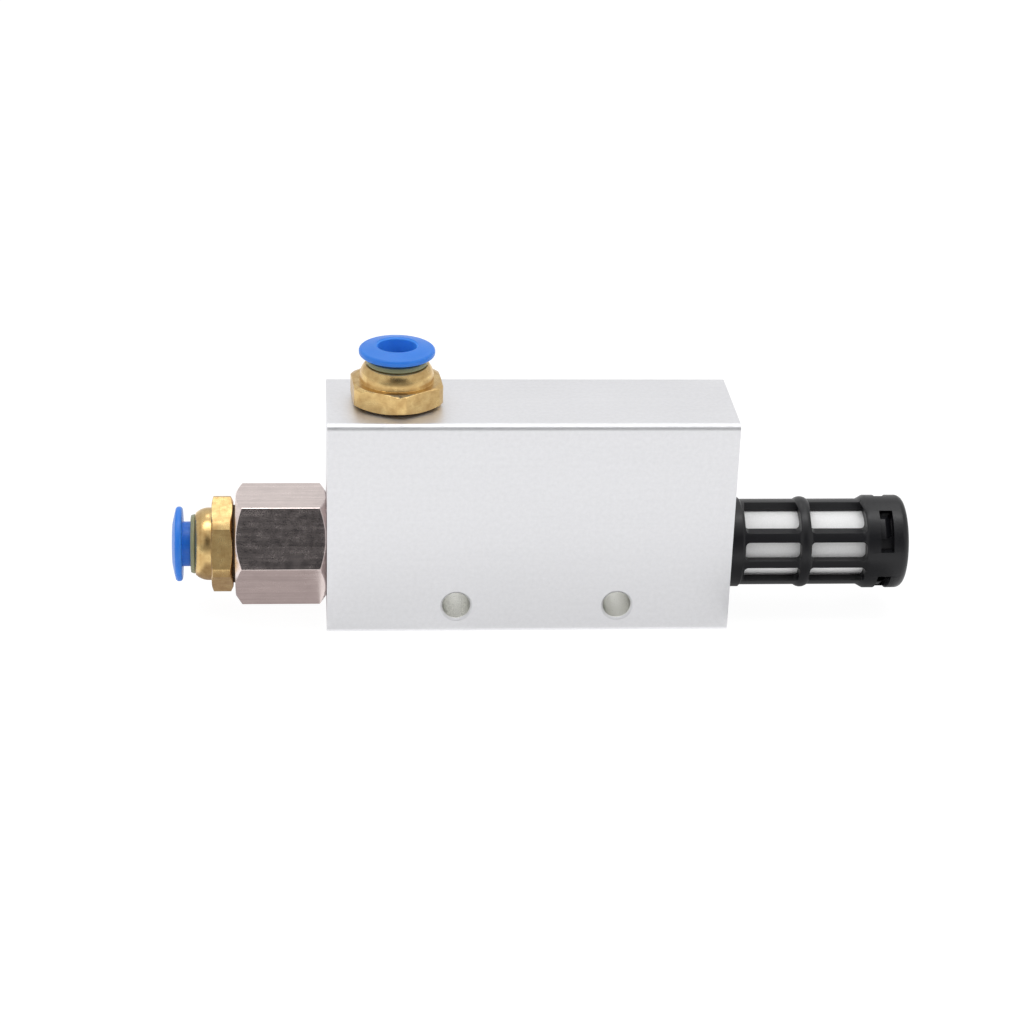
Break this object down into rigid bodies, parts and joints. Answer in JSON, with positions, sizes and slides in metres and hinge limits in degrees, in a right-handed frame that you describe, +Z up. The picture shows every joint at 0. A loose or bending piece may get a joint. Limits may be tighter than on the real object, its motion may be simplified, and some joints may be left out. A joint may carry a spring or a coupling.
{
  "type": "vacuum ejector",
  "caption": "Single-stage vacuum ejector: metal block with cross holes, hexagonal nozzle holder, push-in tube fittings with release collars, and a caged exhaust silencer.",
  "frame": {"origin": "centre of the block's lower face", "axes": "+X along the air path from the compressed air inlet to the silencer, +Z up through the vacuum port, +Y to the back"},
  "size_m": [0.1186, 0.02, 0.0455],
  "materials": {
    "anodised_aluminium": "bead-blasted and clear anodised, fine grain, low sheen",
    "plated_metal": "satin nickel plate with a faint warm tint",
    "turned_brass": "bright turned brass",
    "blue_acetal": "moulded, smooth",
    "olive_resin": "moulded, slightly translucent",
    "black_nylon": "moulded, fine spark texture",
    "porous_polyethylene": "sintered, white, porous",
    "white_acetal": "moulded, plain",
    "spring_steel": "stamped stainless spring steel",
    "black_rubber": "moulded nitrile, plain"
  },
  "bodies": {
    "ejector": {"body_block": "anodised_aluminium", "nozzle_holder": "plated_metal", "holder_o_ring": "black_rubber", "nozzle": "turned_brass", "nozzle_o_ring": "black_rubber", "diffuser": "turned_brass", "diffuser_front_o_ring": "black_rubber", "diffuser_rear_o_ring": "black_rubber", "air_fitting_body": "turned_brass", "air_fitting_washer": "black_rubber", "air_tube_seal": "black_rubber", "air_backing_ring": "white_acetal", "air_claw_ring": "spring_steel", "air_retaining_ring": "olive_resin", "vacuum_fitting_body": "turned_brass", "vacuum_fitting_washer": "black_rubber", "vacuum_tube_seal": "black_rubber", "vacuum_backing_ring": "white_acetal", "vacuum_claw_ring": "spring_steel", "vacuum_retaining_ring": "olive_resin", "silencer_cage": "black_nylon", "silencer_element": "porous_polyethylene", "silencer_end_cap": "black_nylon"},
    "air_collar": {"air_release_collar": "blue_acetal"},
    "vacuum_collar": {"vacuum_release_collar": "blue_acetal"}
  },
  "joints": [
    {"name": "air_collar_press", "type": "slide", "parent": "ejector", "child": "air_collar", "axis": [1, 0, 0], "range_m": [0, 0.0012], "stiffness_N_per_m": 2000},
    {"name": "vacuum_collar_press", "type": "slide", "parent": "ejector", "child": "vacuum_collar", "axis": [0, 0, -1], "range_m": [0, 0.0006], "stiffness_N_per_m": 2000}
  ]
}
